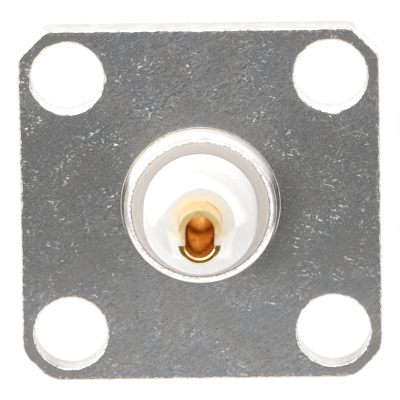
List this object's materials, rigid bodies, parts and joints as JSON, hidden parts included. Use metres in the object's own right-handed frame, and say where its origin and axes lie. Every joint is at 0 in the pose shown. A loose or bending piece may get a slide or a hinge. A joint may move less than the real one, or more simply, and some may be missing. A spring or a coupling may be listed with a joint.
{
  "type": "bnc connector",
  "caption": "Square-flange bayonet coaxial receptacle: stamped plate with fixing holes, turned barrel with bayonet pins, white insulators and a gold contact with a solder cup.",
  "frame": {"origin": "centre of the flange's rear face, on the axis of the contact", "axes": "+Z along the contact's axis, out of the solder cup; the open side of the cup faces +Y; X and Y along the flange's sides"},
  "size_m": [0.0174, 0.0174, 0.024],
  "materials": {
    "dull_nickel": "dull worn nickel plate on stamped sheet, with scratches and sheared edges",
    "bright_nickel": "bright nickel plate on turned brass",
    "white_fluoropolymer": "waxy white fluoropolymer, turned",
    "gold_plate": "gold plate on turned brass"
  },
  "bodies": {
    "root": {"flange_plate": "dull_nickel", "shell": "bright_nickel", "bayonet_pins": "bright_nickel", "front_insulator": "white_fluoropolymer", "rear_insulator": "white_fluoropolymer", "centre_contact": "gold_plate"}
  },
  "joints": []
}
